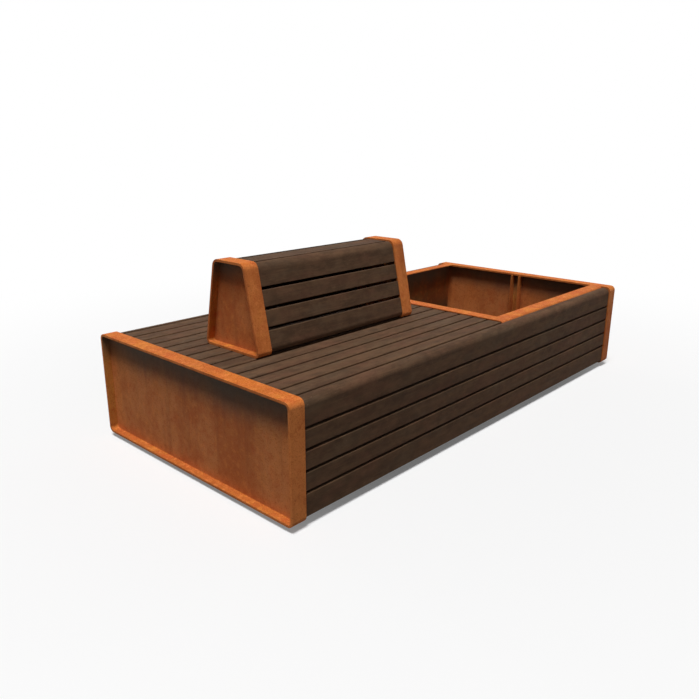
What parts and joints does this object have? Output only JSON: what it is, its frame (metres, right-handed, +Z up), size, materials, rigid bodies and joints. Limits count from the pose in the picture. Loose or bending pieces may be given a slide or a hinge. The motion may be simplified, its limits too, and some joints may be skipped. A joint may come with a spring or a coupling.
{
  "type": "bench with planter",
  "caption": "Rectangular two-sided timber seat in weathering-steel end rings, with a wedge-shaped backrest island and an open planter box at one end.",
  "frame": {"origin": "on the ground under the centre of the bench", "axes": "+X along the bench from the seat's end to the planter's end, +Y across the seat, +Z up"},
  "size_m": [2.5, 1.187, 0.8163],
  "materials": {
    "weathering_steel": "rusted, matte",
    "seat_timber": "dark brown stain, satin",
    "galvanised_steel": "hot-dip galvanised, dull",
    "zinc_hardware": "zinc plated"
  },
  "bodies": {
    "root": {"near_end_ring": "weathering_steel", "near_end_web": "weathering_steel", "far_end_ring": "weathering_steel", "far_end_web": "weathering_steel", "planter_rim": "weathering_steel", "planter_near_wall": "weathering_steel", "planter_front_wall": "weathering_steel", "planter_back_wall": "weathering_steel", "planter_floor": "weathering_steel", "planter_stiffener": "weathering_steel", "backrest_near_ring": "weathering_steel", "backrest_near_web": "weathering_steel", "backrest_far_ring": "weathering_steel", "backrest_far_web": "weathering_steel", "seat_slat_1": "seat_timber", "seat_slat_2": "seat_timber", "seat_slat_3": "seat_timber", "seat_slat_4": "seat_timber", "seat_slat_5": "seat_timber", "seat_slat_6": "seat_timber", "seat_slat_7": "seat_timber", "seat_slat_8": "seat_timber", "seat_slat_9": "seat_timber", "seat_slat_10": "seat_timber", "seat_slat_11": "seat_timber", "seat_slat_12": "seat_timber", "seat_slat_13": "seat_timber", "seat_slat_14": "seat_timber", "side_slat_front_1": "seat_timber", "side_slat_front_2": "seat_timber", "side_slat_front_3": "seat_timber", "side_slat_front_4": "seat_timber", "side_slat_back_1": "seat_timber", "side_slat_back_2": "seat_timber", "side_slat_back_3": "seat_timber", "side_slat_back_4": "seat_timber", "corner_slat_front": "seat_timber", "corner_slat_back": "seat_timber", "backrest_slat_front_1": "seat_timber", "backrest_slat_front_2": "seat_timber", "backrest_slat_front_3": "seat_timber", "backrest_slat_front_4": "seat_timber", "backrest_slat_back_1": "seat_timber", "backrest_slat_back_2": "seat_timber", "backrest_slat_back_3": "seat_timber", "backrest_slat_back_4": "seat_timber", "backrest_top_slat": "seat_timber", "support_frame_1": "galvanised_steel", "support_frame_2": "galvanised_steel", "support_frame_3": "galvanised_steel", "base_rail_front": "galvanised_steel", "base_rail_back": "galvanised_steel", "foot_near_front": "zinc_hardware", "foot_near_back": "zinc_hardware", "foot_middle_front": "zinc_hardware", "foot_middle_back": "zinc_hardware", "foot_far_front": "zinc_hardware", "foot_far_back": "zinc_hardware", "backrest_anchor_near": "zinc_hardware", "backrest_anchor_far": "zinc_hardware"}
  },
  "joints": []
}
